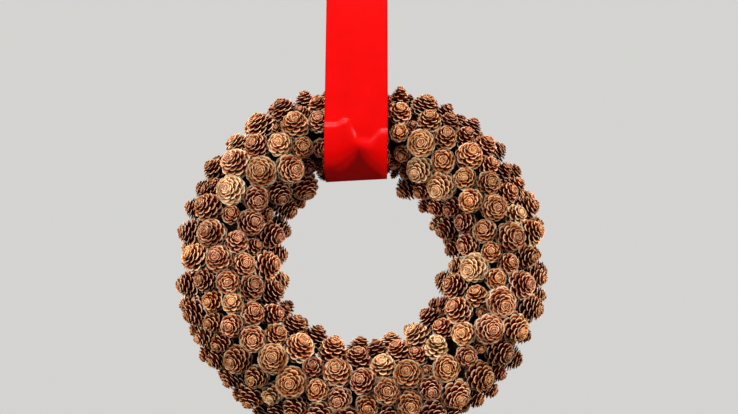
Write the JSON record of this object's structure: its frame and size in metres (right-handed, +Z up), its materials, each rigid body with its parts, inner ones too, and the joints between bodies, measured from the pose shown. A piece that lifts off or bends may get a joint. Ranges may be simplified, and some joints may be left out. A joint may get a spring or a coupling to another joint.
{
  "type": "pinecone wreath",
  "caption": "Round wreath of small larch-like cones glued side by side on a flat-backed foam ring, hung by one wide loop of red satin ribbon",
  "frame": {"origin": "the inside of the top fold of the ribbon loop, where it lies over a hook or rod", "axes": "+Z up, the wreath's front faces -Y, +X to the right of someone who looks at the front"},
  "size_m": [0.3519, 0.0764, 0.4741],
  "materials": {
    "cone_scales": "dry woody scales with pale cream edges over dark red-brown gaps",
    "wrapped_foam": "matte dark brown wrap",
    "red_satin": "satin"
  },
  "bodies": {
    "root": {"ring_form": "wrapped_foam", "ribbon": "red_satin", "cone_row_01": "cone_scales", "cone_row_02": "cone_scales", "cone_row_03": "cone_scales", "cone_row_04": "cone_scales", "cone_row_05": "cone_scales", "cone_row_06": "cone_scales", "cone_row_07": "cone_scales", "cone_row_08": "cone_scales", "cone_row_09": "cone_scales", "cone_row_10": "cone_scales", "cone_row_11": "cone_scales", "cone_row_12": "cone_scales", "cone_row_13": "cone_scales", "cone_row_14": "cone_scales", "cone_row_15": "cone_scales", "cone_row_16": "cone_scales", "cone_row_17": "cone_scales", "cone_row_18": "cone_scales", "cone_row_19": "cone_scales", "cone_row_20": "cone_scales", "cone_row_21": "cone_scales", "cone_row_22": "cone_scales", "cone_row_23": "cone_scales", "cone_row_24": "cone_scales", "cone_row_25": "cone_scales", "cone_row_26": "cone_scales", "cone_row_27": "cone_scales", "cone_row_28": "cone_scales", "cone_row_29": "cone_scales", "cone_row_30": "cone_scales", "cone_row_31": "cone_scales", "cone_row_32": "cone_scales", "cone_row_33": "cone_scales", "cone_row_34": "cone_scales", "cone_row_35": "cone_scales", "cone_row_36": "cone_scales", "cone_row_37": "cone_scales", "cone_row_38": "cone_scales", "cone_row_39": "cone_scales", "cone_row_40": "cone_scales", "cone_row_41": "cone_scales", "cone_row_42": "cone_scales", "cone_row_43": "cone_scales", "cone_row_44": "cone_scales", "cone_row_45": "cone_scales", "cone_row_46": "cone_scales", "cone_row_47": "cone_scales", "cone_row_48": "cone_scales", "cone_row_49": "cone_scales", "cone_row_50": "cone_scales", "cone_row_51": "cone_scales", "cone_row_52": "cone_scales", "cone_row_53": "cone_scales", "cone_row_54": "cone_scales", "cone_row_55": "cone_scales", "cone_row_56": "cone_scales"}
  },
  "joints": []
}
